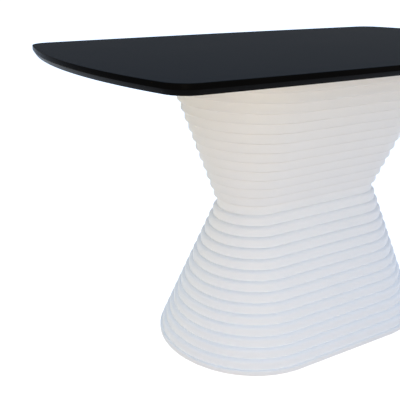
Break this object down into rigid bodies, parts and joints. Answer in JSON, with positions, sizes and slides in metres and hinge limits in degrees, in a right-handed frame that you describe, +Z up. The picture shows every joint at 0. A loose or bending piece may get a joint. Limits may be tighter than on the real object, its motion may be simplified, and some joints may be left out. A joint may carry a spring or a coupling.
{
  "type": "dining table",
  "caption": "Pedestal dining table: a bowed rectangular black top on a white hourglass plinth built up from horizontal slabs with round ends.",
  "frame": {"origin": "on the floor under the middle of the table", "axes": "+Z up, X along the length of the table, -Y the side that the picture shows"},
  "size_m": [1.295, 0.7658, 0.76],
  "materials": {
    "black_lacquer": "satin black lacquer on fibreboard",
    "white_lacquer": "satin white lacquer on fibreboard",
    "beech": "planed beech",
    "zinc_steel": "zinc plated",
    "raw_steel": "black powder coat",
    "brass": "turned brass",
    "nylon": "moulded nylon"
  },
  "bodies": {
    "root": {"table_top": "black_lacquer", "top_inserts": "brass", "top_plate": "zinc_steel", "top_plate_bolts": "zinc_steel", "left_post": "raw_steel", "right_post": "raw_steel", "left_tie_rod": "zinc_steel", "right_tie_rod": "zinc_steel", "left_clamp_plate": "raw_steel", "right_clamp_plate": "raw_steel", "rod_nuts": "zinc_steel", "foot_tongues": "beech", "plinth_slab_01": "white_lacquer", "plinth_slab_02": "white_lacquer", "plinth_slab_03": "white_lacquer", "plinth_slab_04": "white_lacquer", "plinth_slab_05": "white_lacquer", "plinth_slab_06": "white_lacquer", "plinth_slab_07": "white_lacquer", "plinth_slab_08": "white_lacquer", "plinth_slab_09": "white_lacquer", "plinth_slab_10": "white_lacquer", "plinth_slab_11": "white_lacquer", "plinth_slab_12": "white_lacquer", "plinth_slab_13": "white_lacquer", "plinth_slab_14": "white_lacquer", "plinth_slab_15": "white_lacquer", "plinth_slab_16": "white_lacquer", "plinth_slab_17": "white_lacquer", "plinth_slab_18": "white_lacquer", "plinth_slab_19": "white_lacquer", "plinth_slab_20": "white_lacquer", "plinth_slab_21": "white_lacquer", "plinth_slab_22": "white_lacquer", "plinth_slab_23": "white_lacquer", "plinth_slab_24": "white_lacquer", "plinth_slab_25": "white_lacquer", "plinth_slab_26": "white_lacquer", "plinth_slab_27": "white_lacquer", "plinth_slab_28": "white_lacquer", "plinth_slab_29": "white_lacquer", "plinth_slab_30": "white_lacquer", "glides": "nylon"}
  },
  "joints": []
}
